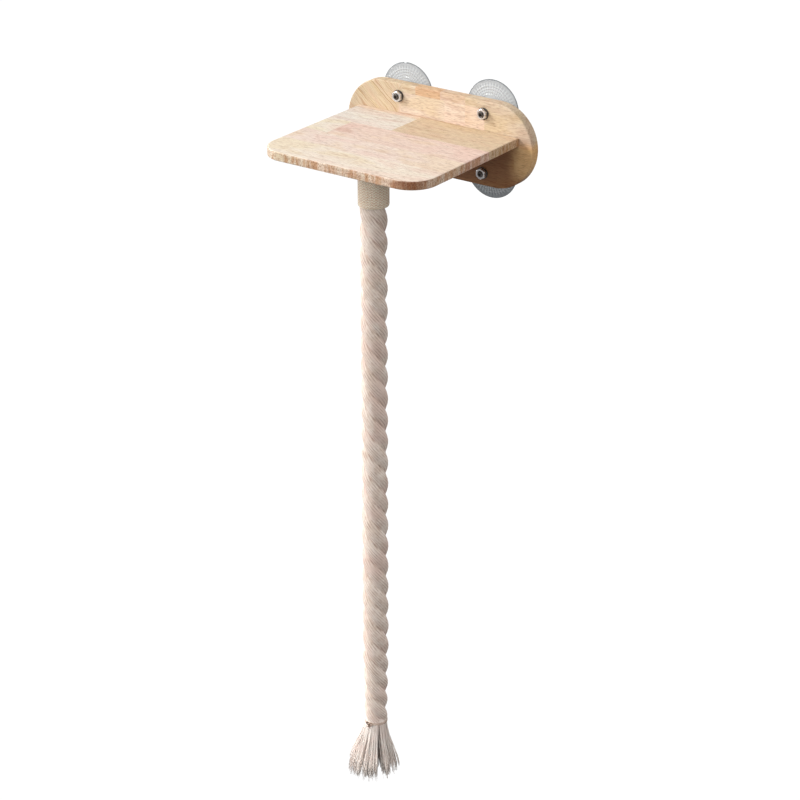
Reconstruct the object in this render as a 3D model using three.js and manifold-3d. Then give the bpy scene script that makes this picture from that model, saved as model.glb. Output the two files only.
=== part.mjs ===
// A cat wall shelf: a rubberwood plate on a round-ended back board, held on a wall or window
// by four suction cups, with a thick twisted rope that hangs below it for the cat to claw.
// Millimetres, +Z up. The origin is on the wall, behind the middle of the back board,
// with +X to the right as seen from the room and +Y into the wall.

import * as THREE from "three";
import { mergeVertices } from "three/addons/utils/BufferGeometryUtils.js";
import Module from "manifold-3d";

const wasm = await Module();
wasm.setup();

// Clearances shared by every piece
const seatGap = 0.3; // between two pieces that rest on each other
const fitGap = 0.3; // round a piece that sits in a hole
const overrun = 2; // how far a cutter runs past the face that it opens

// Shelf plate, a finger-jointed rubberwood board
const shelfWidth = 250;
const shelfDepth = 222.8; // from the back board's face to the front edge
const shelfThickness = 12;
const shelfCornerRadius = 36; // the two front corners
const shelfEdgeRound = 1.6;

// Back board, with fully round ends
const boardWidth = 290.4;
const boardHeight = 113.8;
const boardThickness = 15;
const boardEdgeRound = 1.4;
const shelfTopAboveCentre = 17.7; // the plate's top, above the board's centre line

// Suction cups, pressed flat on the wall
const wallGap = 7; // from the wall to the board's back
const cupSpacingShare = 0.458; // of the board's width, between the left and the right cups
const cupRimClearance = 0.6; // between the upper and the lower cup's lips
const cupPatternShift = 4; // the four bolts sit a little to the right of the board's centre
const cupRimRadius = 39.7;
const cupLipWidth = 5.4; // the flat ring that seals on the wall
const cupLipThickness = 0.9;
const cupDiscThickness = 3.9; // where the disc meets the boss
const cupHollowDepth = 0.9; // the air space behind the pressed cup
const cupBossRadius = 14.5;
const cupBossDraft = 1.1; // the boss is this much wider at its foot
const cupFloorThickness = 1.1; // rubber behind the stud's head
const cupRidgeHeight = 0.5;
const cupRidgeWidth = 1.6;
const cupRidgeShares = [0.25, 0.5, 0.75]; // places of the moulded ridges, from boss to lip

// Bolts: an M8 stud moulded into each cup, with a washer and a thin nut on the board's face
const studRadius = 4;
const studHeadRadius = 10;
const studHeadThickness = 1.5;
const studHeadEdge = 0.3; // chamfer on the head's rim
const studEndAboveNut = 1.4;
const studEndChamfer = 0.8;
const washerRadius = 8;
const washerThickness = 1.4;
const nutAcrossFlats = 13;
const nutThickness = 4.2;
const nutBoreChamfer = 0.5;

// Screws and dowels that hold the plate to the board, put in from behind
const screwLength = 38;
const screwRadius = 2;
const screwHeadRadius = 4;
const screwHeadHeight = 2.6;
const screwHeadRim = 0.4;
const screwHeadSink = 0.5; // below the board's back face
const screwTipLength = 5;
const screwSocketRadius = 1.5;
const screwSocketDepth = 1.4;
const screwFromSide = 37; // from the plate's side edge; the third screw is in the middle
const dowelLength = 28;
const dowelRadius = 3;
const dowelInBoard = 9;
const dowelEndChamfer = 0.7;
const dowelFromSide = 71; // from the plate's side edge

// Hanger: an eye screwed into the plate's underside, a ring, and a second eye on the rope
const ropeFromBoard = 143; // from the board's face to the rope's centre line
const eyeInnerRadius = 4;
const eyeWireRadius = 1.5;
const eyeShankRadius = 1.9;
const eyeShankLength = 8.6;
const eyeShankTip = 1.2;
const eyeFlangeRadius = 4.4;
const eyeFlangeThickness = 1.2;
const eyeSink = 0.5; // how far the eye's wire runs into its flange
const ringWireRadius = 1.25;
const ringInnerRadius = 5.75;

// Rope, its wooden head plug, the cloth collar round its top, the tie and the tassel
const ropeRadius = 17.8;
const ropeLength = 776;
const ropeSides = 12;
const ropeRouteSteps = 15;
const plugHeight = 12;
const plugGrooveDepth = 1.2;
const plugGrooveHeight = 3;
const plugBoreDepth = 9;
const collarAbovePlug = 11.7; // the cloth cuff stands up round the eye
const collarBelowPlugTop = 27.2;
const collarWall = 2.1;
const collarHemHeight = 4.6; // over which each end is drawn in
const collarHemShares = [[0.4, 0], [0.75, 0.2], [0.93, 0.5], [1, 1]]; // of the wall and the hem's height
const tieRadius = 15.9;
const tieHeight = 5;
const tieTurns = 3;
const tieTurnDepth = 0.7;
const tasselNeckRadius = 13.4;
const tasselLength = 81;
const tasselRadius = 37.5;
const tasselOutlineShares = [
  // radius as a share of the widest, then depth below the tie as a share of the length
  [0.42, 0],
  [0.5, 0.18],
  [0.64, 0.43],
  [0.82, 0.67],
  [1, 0.9],
  [0.96, 0.97],
  [0.84, 1],
];
const tasselHollowShare = 0.96; // the underside is a little hollow: its middle's depth share

// Facets
const roundSides = 36;
const fineSides = 24;
const boltSides = 16;
const wireSides = 8;
const bevelSteps = 2;
const cornerSteps = 10; // in each of the plate's front corners
const endSteps = 15; // in each of the board's round ends

// Places that follow from the sizes above
const boardBackY = -wallGap;
const boardFrontY = boardBackY - boardThickness;
const shelfTopZ = shelfTopAboveCentre;
const shelfBottomZ = shelfTopZ - shelfThickness;
const shelfMiddleZ = shelfTopZ - shelfThickness / 2;
const ropeAxisY = boardFrontY - ropeFromBoard;

const cupPlaces = [
  ["upper_left", -1, 1],
  ["upper_right", 1, 1],
  ["lower_left", -1, -1],
  ["lower_right", 1, -1],
].map(([name, sideX, sideZ]) => ({
  name,
  x: cupPatternShift + (sideX * boardWidth * cupSpacingShare) / 2,
  z: sideZ * (cupRimRadius + cupRimClearance / 2),
}));

const colours = {
  panelWood: new THREE.MeshStandardMaterial({ color: 0xd9b99a, roughness: 0.5, metalness: 0 }),
  boardWood: new THREE.MeshStandardMaterial({ color: 0xd8ae78, roughness: 0.5, metalness: 0 }),
  clearRubber: new THREE.MeshStandardMaterial({ color: 0xb9bec2, roughness: 0.12, metalness: 0 }),
  steel: new THREE.MeshStandardMaterial({ color: 0xc4c6c8, roughness: 0.25, metalness: 1 }),
  plugWood: new THREE.MeshStandardMaterial({ color: 0xc9a877, roughness: 0.6, metalness: 0 }),
  cotton: new THREE.MeshStandardMaterial({ color: 0xcdbfa6, roughness: 0.95, metalness: 0 }),
  cloth: new THREE.MeshStandardMaterial({ color: 0xb3a48c, roughness: 0.95, metalness: 0 }),
};

// One closed body from any geometry: shared vertices merged, slivers dropped, faces outwards
function closed(geometry) {
  const bare = geometry.clone();
  bare.deleteAttribute("normal");
  bare.deleteAttribute("uv");
  const merged = mergeVertices(bare);
  const corners = merged.index.array;
  const kept = [];
  for (let i = 0; i < corners.length; i += 3) {
    const [a, b, c] = [corners[i], corners[i + 1], corners[i + 2]];
    if (a !== b && b !== c && c !== a) kept.push(a, b, c);
  }
  merged.setIndex(kept);
  if (volumeOf(merged) < 0) {
    for (let i = 0; i < kept.length; i += 3) [kept[i + 1], kept[i + 2]] = [kept[i + 2], kept[i + 1]];
    merged.setIndex(kept);
  }
  return merged;
}

function volumeOf(geometry) {
  const place = geometry.getAttribute("position");
  const corners = geometry.index.array;
  const [a, b, c] = [new THREE.Vector3(), new THREE.Vector3(), new THREE.Vector3()];
  let sixfold = 0;
  for (let i = 0; i < corners.length; i += 3) {
    a.fromBufferAttribute(place, corners[i]);
    b.fromBufferAttribute(place, corners[i + 1]);
    c.fromBufferAttribute(place, corners[i + 2]);
    sixfold += a.dot(b.cross(c));
  }
  return sixfold / 6;
}

function solidOf(geometry) {
  const body = closed(geometry);
  return new wasm.Manifold(
    new wasm.Mesh({
      numProp: 3,
      vertProperties: new Float32Array(body.getAttribute("position").array),
      triVerts: new Uint32Array(body.index.array),
    }),
  );
}

function geometryOf(solid) {
  const mesh = solid.getMesh();
  const geometry = new THREE.BufferGeometry();
  geometry.setAttribute("position", new THREE.BufferAttribute(mesh.vertProperties, 3));
  geometry.setIndex(new THREE.BufferAttribute(mesh.triVerts, 1));
  return geometry;
}

function cutAway(geometry, cutters) {
  return geometryOf(cutters.reduce((left, cutter) => left.subtract(solidOf(cutter)), solidOf(geometry)));
}

function joined(geometries) {
  return geometryOf(geometries.map(solidOf).reduce((sum, next) => sum.add(next)));
}

function common(geometries) {
  return geometryOf(geometries.map(solidOf).reduce((sum, next) => sum.intersect(next)));
}

// A profile of [radius, height] points turned about the Y axis
function turned(profile, sides) {
  return closed(new THREE.LatheGeometry(profile.map(([r, y]) => new THREE.Vector2(r, y)), sides));
}

// The same about a vertical axis
function turnedUpright(profile, sides) {
  return turned(profile, sides).rotateX(Math.PI / 2);
}

// A straight round bar along Y, from one place to another
function barAlongY(radius, from, to, sides) {
  const bar = new THREE.CylinderGeometry(radius, radius, to - from, sides);
  return bar.translate(0, (from + to) / 2, 0);
}

// A flat outline in X and Y given a thickness and rounded edges, from height zero upwards
function slab(outline, thickness, edgeRound, curveSegments) {
  const body = new THREE.ExtrudeGeometry(outline, {
    depth: thickness - 2 * edgeRound,
    bevelThickness: edgeRound,
    bevelSize: edgeRound,
    bevelOffset: -edgeRound,
    bevelSegments: bevelSteps,
    curveSegments,
  });
  return body.translate(0, 0, edgeRound);
}

function piece(name, geometry, material, x = 0, y = 0, z = 0) {
  const mesh = new THREE.Mesh(geometry, material);
  mesh.name = name;
  mesh.position.set(x, y, z);
  return mesh;
}

// Countersunk wood screw along Y: its head's top at zero, its tip towards the room.
// With a clearance it is the hole that the screw sits in.
function screwProfile(clearance, above) {
  const head = screwHeadRadius + clearance;
  const shank = screwRadius + clearance;
  const tip = screwLength + clearance;
  return [
    [0, above],
    [head, above],
    [head, -screwHeadRim],
    [shank, -screwHeadHeight],
    [shank, -(screwLength - screwTipLength)],
    [0, -tip],
  ];
}

const screwHeadY = boardBackY - screwHeadSink;
const screwOffset = shelfWidth / 2 - screwFromSide;
const dowelOffset = shelfWidth / 2 - dowelFromSide;
const screwPlacesX = [-screwOffset, 0, screwOffset];
const dowelPlacesX = [-dowelOffset, dowelOffset];
const dowelBackY = boardFrontY + dowelInBoard;

function screwHole(x) {
  return turned(screwProfile(fitGap, screwHeadSink + overrun), boltSides)
    .translate(x, screwHeadY, shelfMiddleZ);
}

function dowelHole(x) {
  const from = dowelBackY - dowelLength - seatGap;
  const to = dowelBackY + seatGap;
  return barAlongY(dowelRadius + fitGap, from, to, boltSides).translate(x, 0, shelfMiddleZ);
}

// Shelf plate
function shelfOutline() {
  const half = shelfWidth / 2;
  const back = boardFrontY - seatGap;
  const front = boardFrontY - shelfDepth;
  const middle = front + shelfCornerRadius;
  const outline = new THREE.Shape();
  outline.moveTo(half, back);
  outline.lineTo(-half, back);
  outline.absarc(-half + shelfCornerRadius, middle, shelfCornerRadius, Math.PI, 1.5 * Math.PI);
  outline.absarc(half - shelfCornerRadius, middle, shelfCornerRadius, 1.5 * Math.PI, 2 * Math.PI);
  outline.closePath();
  return outline;
}

function eyePilotHole() {
  const depth = eyeShankLength + fitGap;
  const hole = new THREE.CylinderGeometry(
    eyeShankRadius + fitGap, eyeShankRadius + fitGap, depth + overrun, boltSides);
  return hole
    .rotateX(Math.PI / 2)
    .translate(0, ropeAxisY, shelfBottomZ + (depth - overrun) / 2);
}

function shelfPanel() {
  const plate = slab(shelfOutline(), shelfThickness, shelfEdgeRound, cornerSteps).translate(0, 0, shelfBottomZ);
  const holes = [...screwPlacesX.map(screwHole), ...dowelPlacesX.map(dowelHole), eyePilotHole()];
  return piece("shelf_panel", cutAway(plate, holes), colours.panelWood);
}

// Back board
function boardOutline() {
  const endRadius = boardHeight / 2;
  const straight = boardWidth / 2 - endRadius;
  const outline = new THREE.Shape();
  outline.absarc(straight, 0, endRadius, -Math.PI / 2, Math.PI / 2);
  outline.absarc(-straight, 0, endRadius, Math.PI / 2, 1.5 * Math.PI);
  outline.closePath();
  return outline;
}

function boltHole({ x, z }) {
  return barAlongY(studRadius + fitGap, boardFrontY - overrun, boardBackY + overrun, boltSides)
    .translate(x, 0, z);
}

function backBoard() {
  const board = slab(boardOutline(), boardThickness, boardEdgeRound, endSteps)
    .rotateX(Math.PI / 2)
    .translate(0, boardBackY, 0);
  const holes = [
    ...cupPlaces.map(boltHole),
    ...screwPlacesX.map(screwHole),
    ...dowelPlacesX.map(dowelHole),
  ];
  return piece("back_board", cutAway(board, holes), colours.boardWood);
}

// Where the stud's head is trapped in the cup, as heights above the wall
const pocketFloor = cupHollowDepth + cupFloorThickness;
const studHeadBack = pocketFloor + fitGap;
const studHeadFront = studHeadBack + studHeadThickness;
const pocketRoof = studHeadFront + fitGap;
const cupBossFront = wallGap - seatGap;
const washerBack = wallGap + boardThickness + seatGap;
const nutBack = washerBack + washerThickness + seatGap;
const nutFront = nutBack + nutThickness;
const studFront = nutFront + studEndAboveNut;

// The disc's front from boss to lip, with its moulded ridges
function cupDiscFront() {
  const from = [cupBossRadius + cupBossDraft, cupHollowDepth + cupDiscThickness];
  const to = [cupRimRadius - cupLipWidth / 2, cupLipThickness];
  const along = (share) => [
    THREE.MathUtils.lerp(from[0], to[0], share),
    THREE.MathUtils.lerp(from[1], to[1], share ** 0.8),
  ];
  const ridges = cupRidgeShares.flatMap((share) => {
    const [radius, height] = along(share);
    const half = cupRidgeWidth / 2;
    const foot = (r) => along((r - from[0]) / (to[0] - from[0]));
    return [foot(radius - half), [radius, height + cupRidgeHeight], foot(radius + half)];
  });
  return [from, ...ridges, to];
}

// Suction cup: the outline as [radius, distance from the wall], from the pocket round to the hollow
function cupProfile() {
  const boreRadius = studRadius + fitGap;
  const pocketRadius = studHeadRadius + fitGap;
  const outline = [
    [0, pocketFloor],
    [pocketRadius, pocketFloor],
    [pocketRadius, pocketRoof],
    [boreRadius, pocketRoof],
    [boreRadius, cupBossFront],
    [cupBossRadius, cupBossFront],
    ...cupDiscFront(),
    [cupRimRadius, cupLipThickness / 2],
    [cupRimRadius, 0],
    [cupRimRadius - cupLipWidth, 0],
    [cupBossRadius, cupHollowDepth],
    [0, cupHollowDepth],
  ];
  return outline.map(([radius, fromWall]) => [radius, -fromWall]);
}

// Stud with its flat head in the cup
function studProfile() {
  return [
    [0, studHeadBack],
    [studHeadRadius - studHeadEdge, studHeadBack],
    [studHeadRadius, studHeadBack + studHeadEdge],
    [studHeadRadius, studHeadFront],
    [studRadius, studHeadFront],
    [studRadius, studFront - studEndChamfer],
    [studRadius - studEndChamfer, studFront],
    [0, studFront],
  ].map(([radius, fromWall]) => [radius, -fromWall]);
}

function washerProfile() {
  const inner = studRadius + fitGap;
  const [back, front] = [-washerBack, -(washerBack + washerThickness)];
  return [[inner, back], [washerRadius, back], [washerRadius, front], [inner, front], [inner, back]];
}

// Hexagon nut with chamfered corners and bore
function nutGeometry() {
  const cornerRadius = nutAcrossFlats / 2 / Math.cos(Math.PI / 6);
  const cornerDrop = (cornerRadius - nutAcrossFlats / 2) * Math.tan(Math.PI / 6);
  const bore = studRadius + fitGap;
  const hexagon = new THREE.CylinderGeometry(cornerRadius, cornerRadius, nutThickness, 6)
    .translate(0, -(nutBack + nutFront) / 2, 0);
  const chamfered = turned([
    [0, -nutFront],
    [nutAcrossFlats / 2, -nutFront],
    [cornerRadius, -nutFront + cornerDrop],
    [cornerRadius, -nutBack - cornerDrop],
    [nutAcrossFlats / 2, -nutBack],
    [0, -nutBack],
  ], boltSides);
  const boreCutter = turned([
    [0, -nutFront - overrun],
    [bore + nutBoreChamfer + overrun, -nutFront - overrun],
    [bore, -nutFront + nutBoreChamfer],
    [bore, -nutBack - nutBoreChamfer],
    [bore + nutBoreChamfer + overrun, -nutBack + overrun],
    [0, -nutBack + overrun],
  ], boltSides);
  return cutAway(common([hexagon, chamfered]), [boreCutter]);
}

function cupAssembly({ name, x, z }) {
  return [
    piece(`suction_cup_${name}`, turned(cupProfile(), roundSides), colours.clearRubber, x, 0, z),
    piece(`cup_stud_${name}`, turned(studProfile(), boltSides), colours.steel, x, 0, z),
    piece(`washer_${name}`, turned(washerProfile(), fineSides), colours.steel, x, 0, z),
    piece(`hex_nut_${name}`, nutGeometry(), colours.steel, x, 0, z),
  ];
}

// Wood screw with a hexagon socket
function shelfScrew(name, x) {
  const socket = new THREE.CylinderGeometry(
    screwSocketRadius, screwSocketRadius, screwSocketDepth + overrun, 6)
    .translate(0, (overrun - screwSocketDepth) / 2, 0);
  const body = cutAway(turned(screwProfile(0, 0), boltSides), [socket]);
  return piece(`shelf_screw_${name}`, body, colours.steel, x, screwHeadY, shelfMiddleZ);
}

function shelfDowel(name, x) {
  const body = turned([
    [0, -dowelLength],
    [dowelRadius - dowelEndChamfer, -dowelLength],
    [dowelRadius, -dowelLength + dowelEndChamfer],
    [dowelRadius, -dowelEndChamfer],
    [dowelRadius - dowelEndChamfer, 0],
    [0, 0],
  ], boltSides);
  return piece(`shelf_dowel_${name}`, body, colours.plugWood, x, dowelBackY, shelfMiddleZ);
}

// Heights down the hanger, each from the one above it
const eyeMiddleRadius = eyeInnerRadius + eyeWireRadius;
const eyeOuterRadius = eyeInnerRadius + 2 * eyeWireRadius;
const ringMiddleRadius = ringInnerRadius + ringWireRadius;
const wireStep = eyeWireRadius + ringWireRadius + seatGap; // between two hooked wires' centres
const eyeFlangeTopZ = shelfBottomZ - seatGap;
const eyeCentreZ = eyeFlangeTopZ - eyeFlangeThickness + eyeSink - eyeOuterRadius;
const upperPivotZ = eyeCentreZ - eyeMiddleRadius; // the ring swings about this wire
const ringCentreZ = upperPivotZ + wireStep - ringMiddleRadius;
const lowerPivotZ = ringCentreZ - ringMiddleRadius; // the rope's eye swings about this wire
const plugEyeCentreZ = lowerPivotZ + wireStep - eyeMiddleRadius;
const plugTopZ = plugEyeCentreZ - eyeOuterRadius + eyeSink - eyeFlangeThickness - seatGap;
const ropeTopZ = plugTopZ - plugHeight - seatGap;
const ropeBottomZ = ropeTopZ - ropeLength;

// An eye with a flange and a threaded shank, drawn hanging down from height zero
function eyeGeometry() {
  const wire = new THREE.TorusGeometry(eyeMiddleRadius, eyeWireRadius, wireSides, roundSides / 2)
    .rotateX(Math.PI / 2)
    .translate(0, 0, -(eyeFlangeThickness - eyeSink) - eyeOuterRadius);
  const shank = turnedUpright([
    [0, -eyeFlangeThickness],
    [eyeFlangeRadius, -eyeFlangeThickness],
    [eyeFlangeRadius, 0],
    [eyeShankRadius, 0],
    [eyeShankRadius, eyeShankLength - eyeShankTip],
    [0, eyeShankLength],
  ], boltSides);
  return joined([wire, shank]);
}

function hangerEye() {
  return piece("hanger_eye", eyeGeometry(), colours.steel, 0, ropeAxisY, eyeFlangeTopZ);
}

function hangerRing() {
  const ring = new THREE.TorusGeometry(ringMiddleRadius, ringWireRadius, wireSides, fineSides).rotateY(Math.PI / 2);
  return piece("hanger_ring", closed(ring), colours.steel, 0, ropeAxisY, ringCentreZ);
}

// The rope's own eye is the same part, upside down in the head plug
function plugEye() {
  const eye = eyeGeometry().rotateX(Math.PI);
  return piece("plug_eye", eye, colours.steel, 0, ropeAxisY, plugTopZ + seatGap);
}

// Wooden plug on the rope's end, with a groove that the collar is bound into
function ropePlug() {
  const bore = eyeShankRadius + fitGap;
  const grooveTop = -(plugHeight - plugGrooveHeight) / 2;
  const grooveBottom = grooveTop - plugGrooveHeight;
  const body = turnedUpright([
    [0, -plugBoreDepth],
    [bore, -plugBoreDepth],
    [bore, 0],
    [ropeRadius, 0],
    [ropeRadius, grooveTop],
    [ropeRadius - plugGrooveDepth, grooveTop],
    [ropeRadius - plugGrooveDepth, grooveBottom],
    [ropeRadius, grooveBottom],
    [ropeRadius, -plugHeight],
    [0, -plugHeight],
  ], fineSides);
  return piece("rope_plug", body, colours.plugWood, 0, ropeAxisY, plugTopZ);
}

// Cloth collar: a sleeve whose ends are turned in and drawn together a little
function ropeCollar() {
  const inner = ropeRadius + fitGap;
  const [top, bottom] = [collarAbovePlug, -collarBelowPlugTop];
  const hem = collarHemShares.map(([wide, high]) => [inner + collarWall * wide, collarHemHeight * high]);
  const lower = hem.map(([radius, height]) => [radius, bottom + height]);
  const upper = hem.map(([radius, height]) => [radius, top - height]).reverse();
  const body = turnedUpright([
    [inner, bottom],
    ...lower,
    ...upper,
    [inner, top],
    [inner, bottom],
  ], fineSides);
  return piece("rope_collar", body, colours.cloth, 0, ropeAxisY, plugTopZ);
}

// The rope hangs plumb, so its route is a straight line of even steps
const ropeRoute = Array.from({ length: ropeRouteSteps + 1 }, (_, i) =>
  new THREE.Vector3(0, ropeAxisY, ropeTopZ - (ropeLength * i) / ropeRouteSteps));

function scratchRope() {
  const section = new THREE.Shape();
  for (let i = 0; i < ropeSides; i += 1) {
    const turn = (2 * Math.PI * i) / ropeSides;
    const [x, y] = [ropeRadius * Math.cos(turn), ropeRadius * Math.sin(turn)];
    if (i === 0) section.moveTo(x, y);
    else section.lineTo(x, y);
  }
  section.closePath();
  const body = new THREE.ExtrudeGeometry(section, {
    steps: ropeRouteSteps,
    extrudePath: new THREE.CatmullRomCurve3(ropeRoute),
  });
  return piece("scratch_rope", closed(body), colours.cotton);
}

const tieTopZ = ropeBottomZ - seatGap;

// Cord tied round the rope's end, in a few turns
function ropeTie() {
  const inner = tasselNeckRadius + fitGap;
  const turn = tieHeight / tieTurns;
  const beads = Array.from({ length: tieTurns }, (_, i) => [
    [tieRadius - tieTurnDepth, -i * turn],
    [tieRadius, -(i + 0.5) * turn],
  ]).flat();
  const body = turnedUpright([
    [inner, 0],
    ...beads,
    [tieRadius - tieTurnDepth, -tieHeight],
    [inner, -tieHeight],
    [inner, 0],
  ], fineSides);
  return piece("rope_tie", body, colours.cotton, 0, ropeAxisY, tieTopZ);
}

// The rope's combed-out end below the tie
function ropeTassel() {
  const shoulder = -tieHeight - seatGap;
  const below = (share) => -tieHeight - seatGap - (tasselLength - tieHeight) * share;
  const body = turnedUpright([
    [0, 0],
    [tasselNeckRadius, 0],
    [tasselNeckRadius, shoulder],
    ...tasselOutlineShares.map(([wide, deep]) => [tasselRadius * wide, below(deep)]),
    [0, below(tasselHollowShare)],
  ], fineSides);
  return piece("rope_tassel", body, colours.cotton, 0, ropeAxisY, tieTopZ);
}

const shelf = new THREE.Group();
shelf.add(shelfPanel(), backBoard());
shelf.add(...cupPlaces.flatMap(cupAssembly));
["left", "centre", "right"].forEach((name, i) => shelf.add(shelfScrew(name, screwPlacesX[i])));
["left", "right"].forEach((name, i) => shelf.add(shelfDowel(name, dowelPlacesX[i])));
shelf.add(hangerEye(), hangerRing(), plugEye(), ropePlug(), ropeCollar());
shelf.add(scratchRope(), ropeTie(), ropeTassel());

export default shelf;
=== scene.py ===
# %% [markdown]
# A cat wall shelf: a wooden plate on a round-ended back board, four clear suction cups that hold
# it on a wall or window, and a thick twisted cotton rope with a combed-out end for the claws.
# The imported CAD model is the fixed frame. This lesson dresses it: some nodes only get a finish,
# and soft or smooth pieces are made again in full and take their node's place.

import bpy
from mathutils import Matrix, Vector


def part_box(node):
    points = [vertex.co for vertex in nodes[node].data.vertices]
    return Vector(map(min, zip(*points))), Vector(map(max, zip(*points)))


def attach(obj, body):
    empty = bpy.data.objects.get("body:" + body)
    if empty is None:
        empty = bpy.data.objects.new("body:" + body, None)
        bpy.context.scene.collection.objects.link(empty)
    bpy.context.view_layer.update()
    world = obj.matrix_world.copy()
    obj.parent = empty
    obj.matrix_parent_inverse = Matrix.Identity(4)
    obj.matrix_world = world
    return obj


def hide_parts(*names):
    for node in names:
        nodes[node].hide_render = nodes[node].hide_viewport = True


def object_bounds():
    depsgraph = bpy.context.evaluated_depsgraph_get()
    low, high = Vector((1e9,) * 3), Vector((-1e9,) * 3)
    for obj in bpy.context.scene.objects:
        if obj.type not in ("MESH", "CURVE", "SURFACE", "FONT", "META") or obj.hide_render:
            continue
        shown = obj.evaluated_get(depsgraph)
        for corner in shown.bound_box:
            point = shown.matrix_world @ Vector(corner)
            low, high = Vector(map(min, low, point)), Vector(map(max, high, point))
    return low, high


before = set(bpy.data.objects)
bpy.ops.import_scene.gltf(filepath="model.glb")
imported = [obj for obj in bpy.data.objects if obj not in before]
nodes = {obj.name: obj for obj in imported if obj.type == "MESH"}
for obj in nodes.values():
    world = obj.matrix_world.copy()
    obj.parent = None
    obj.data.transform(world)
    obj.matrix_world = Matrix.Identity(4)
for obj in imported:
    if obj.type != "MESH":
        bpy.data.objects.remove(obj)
cad_box = [list(corner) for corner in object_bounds()]

import math
import random

import bmesh
import bpy
from mathutils import Matrix, Vector

mm = 0.001
turn = 2 * math.pi
print("nodes", len(nodes), "box", cad_box)

# %% [markdown]
# The camera comes first, because the rope has to hang in its view. It is a long lens from far
# away, a little to the right and above. The angles and the distance came from fitting the
# plate's and board's outlines, so the numbers are used as they are, with no roll and no shift.

# %% Camera
camera_azimuth = math.radians(35.3)
camera_elevation = math.radians(24.6)
camera_distance = 3.0678
camera_target = Vector((0.01043, -0.122, -0.3413))
sensor_width = 36
lens = 103.907

towards_camera = Vector((
    math.sin(camera_azimuth) * math.cos(camera_elevation),
    -math.cos(camera_azimuth) * math.cos(camera_elevation),
    math.sin(camera_elevation),
))
camera = bpy.data.objects.new("camera", bpy.data.cameras.new("camera"))
camera.data.lens = lens
camera.data.sensor_width = sensor_width
camera.location = camera_target + towards_camera * camera_distance
camera.rotation_euler = towards_camera.to_track_quat("Z", "Y").to_euler()
bpy.context.scene.collection.objects.link(camera)
bpy.context.scene.camera = camera
print("camera at", [round(v, 3) for v in camera.location])

# %% [markdown]
# Most finishes below are sums of a few patterns. Written as a graph they are hard to read, so a
# small class wraps a socket: Python's own operators add the Math nodes. Colours and vectors have
# methods of their own, because a Math node would turn them into one number.

# %% Shader maths
class Link:
    """A socket of a finish's node tree that Python's operators work on."""

    def __init__(self, finish, socket):
        self.finish = finish
        self.socket = socket

    def maths(self, operation, other, swapped=False):
        pair = (other, self) if swapped else (self, other)
        return self.finish.node("ShaderNodeMath", {"operation": operation}, dict(enumerate(pair)))

    def __add__(self, other): return self.maths("ADD", other)
    def __radd__(self, other): return self.maths("ADD", other, True)
    def __sub__(self, other): return self.maths("SUBTRACT", other)
    def __rsub__(self, other): return self.maths("SUBTRACT", other, True)
    def __mul__(self, other): return self.maths("MULTIPLY", other)
    def __rmul__(self, other): return self.maths("MULTIPLY", other, True)
    def __gt__(self, other): return self.maths("GREATER_THAN", other)
    def __lt__(self, other): return self.maths("LESS_THAN", other)


# %% [markdown]
# Every other node comes from one method, which takes a node's type, its settings and the values
# or links of its sockets. After it come short forms for the few nodes that most finishes share.

# %% Node trees
class Graph:
    """A node tree, with one method that adds any node and a few short forms of it."""

    def __init__(self, tree):
        self.tree = tree

    def node(self, kind, settings=None, inputs=None, output=0):
        made = self.tree.nodes.new(kind)
        for key, value in (settings or {}).items():
            if key == "stops":
                self.set_stops(made.color_ramp, value)
            else:
                setattr(made, key, value)
        for key, value in (inputs or {}).items():
            self.feed(made.inputs[key], value)
        return Link(self, made.outputs[output])

    def set_stops(self, ramp, stops):
        while len(ramp.elements) < len(stops):
            ramp.elements.new(1)
        for element, (place, colour) in zip(ramp.elements, stops):
            element.position = place
            element.color = colour

    def feed(self, socket, value):
        if isinstance(value, Link):
            self.tree.links.new(value.socket, socket)
        else:
            socket.default_value = value

    def place(self):
        return self.node("ShaderNodeTexCoord", output="Object")

    def parts(self, vector):
        split = self.node("ShaderNodeSeparateXYZ", inputs={0: vector}).socket.node
        return [Link(self, socket) for socket in split.outputs]

    def vector(self, x, y, z):
        return self.node("ShaderNodeCombineXYZ", inputs={0: x, 1: y, 2: z})

    def noise(self, vector, scale=1.0, detail=2.0):
        return self.node("ShaderNodeTexNoise", inputs={"Vector": vector, "Scale": scale, "Detail": detail})

    def ramp(self, factor, *stops):
        return self.node("ShaderNodeValToRGB", {"stops": stops}, {0: factor})

    def step(self, value, low, high):
        inputs = {"Value": value, "From Min": low, "From Max": high}
        return self.node("ShaderNodeMapRange", {"interpolation_type": "SMOOTHSTEP"}, inputs)

    def mix(self, below, above, factor, blend="MIX"):
        settings = {"data_type": "RGBA", "blend_type": blend}
        return self.node("ShaderNodeMix", settings, {0: factor, 6: below, 7: above}, output=2)

    def bump(self, height, distance, strength=1.0):
        inputs = {"Height": height, "Distance": distance, "Strength": strength}
        return self.node("ShaderNodeBump", inputs=inputs)


# %% [markdown]
# A finish is a material with a Principled shader. What is the same all over a piece is set on the
# shader's own socket, and only what changes over its surface is linked. Colours are written as
# they look on a screen and turned into the linear values that a shader wants.

# %% Finishes
class Finish(Graph):
    """A material, its Principled shader and the nodes that feed it."""

    def __init__(self, name, constants):
        self.material = bpy.data.materials.new(name)
        self.material.use_nodes = True
        super().__init__(self.material.node_tree)
        self.shader = self.tree.nodes["Principled BSDF"]
        for socket, value in constants.items():
            self.shader.inputs[socket].default_value = value

    def use(self, links):
        for socket, value in links.items():
            self.feed(self.shader.inputs[socket], value)
        print("finish", self.material.name, "nodes", len(self.tree.nodes))
        return self.material


def rgb(red, green, blue):
    """A screen colour of 0 to 255 as the linear colour that a shader wants."""
    shares = [channel / 255 for channel in (red, green, blue)]
    return (*[s / 12.92 if s < 0.04045 else ((s + 0.055) / 1.055) ** 2.4 for s in shares], 1)


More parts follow.
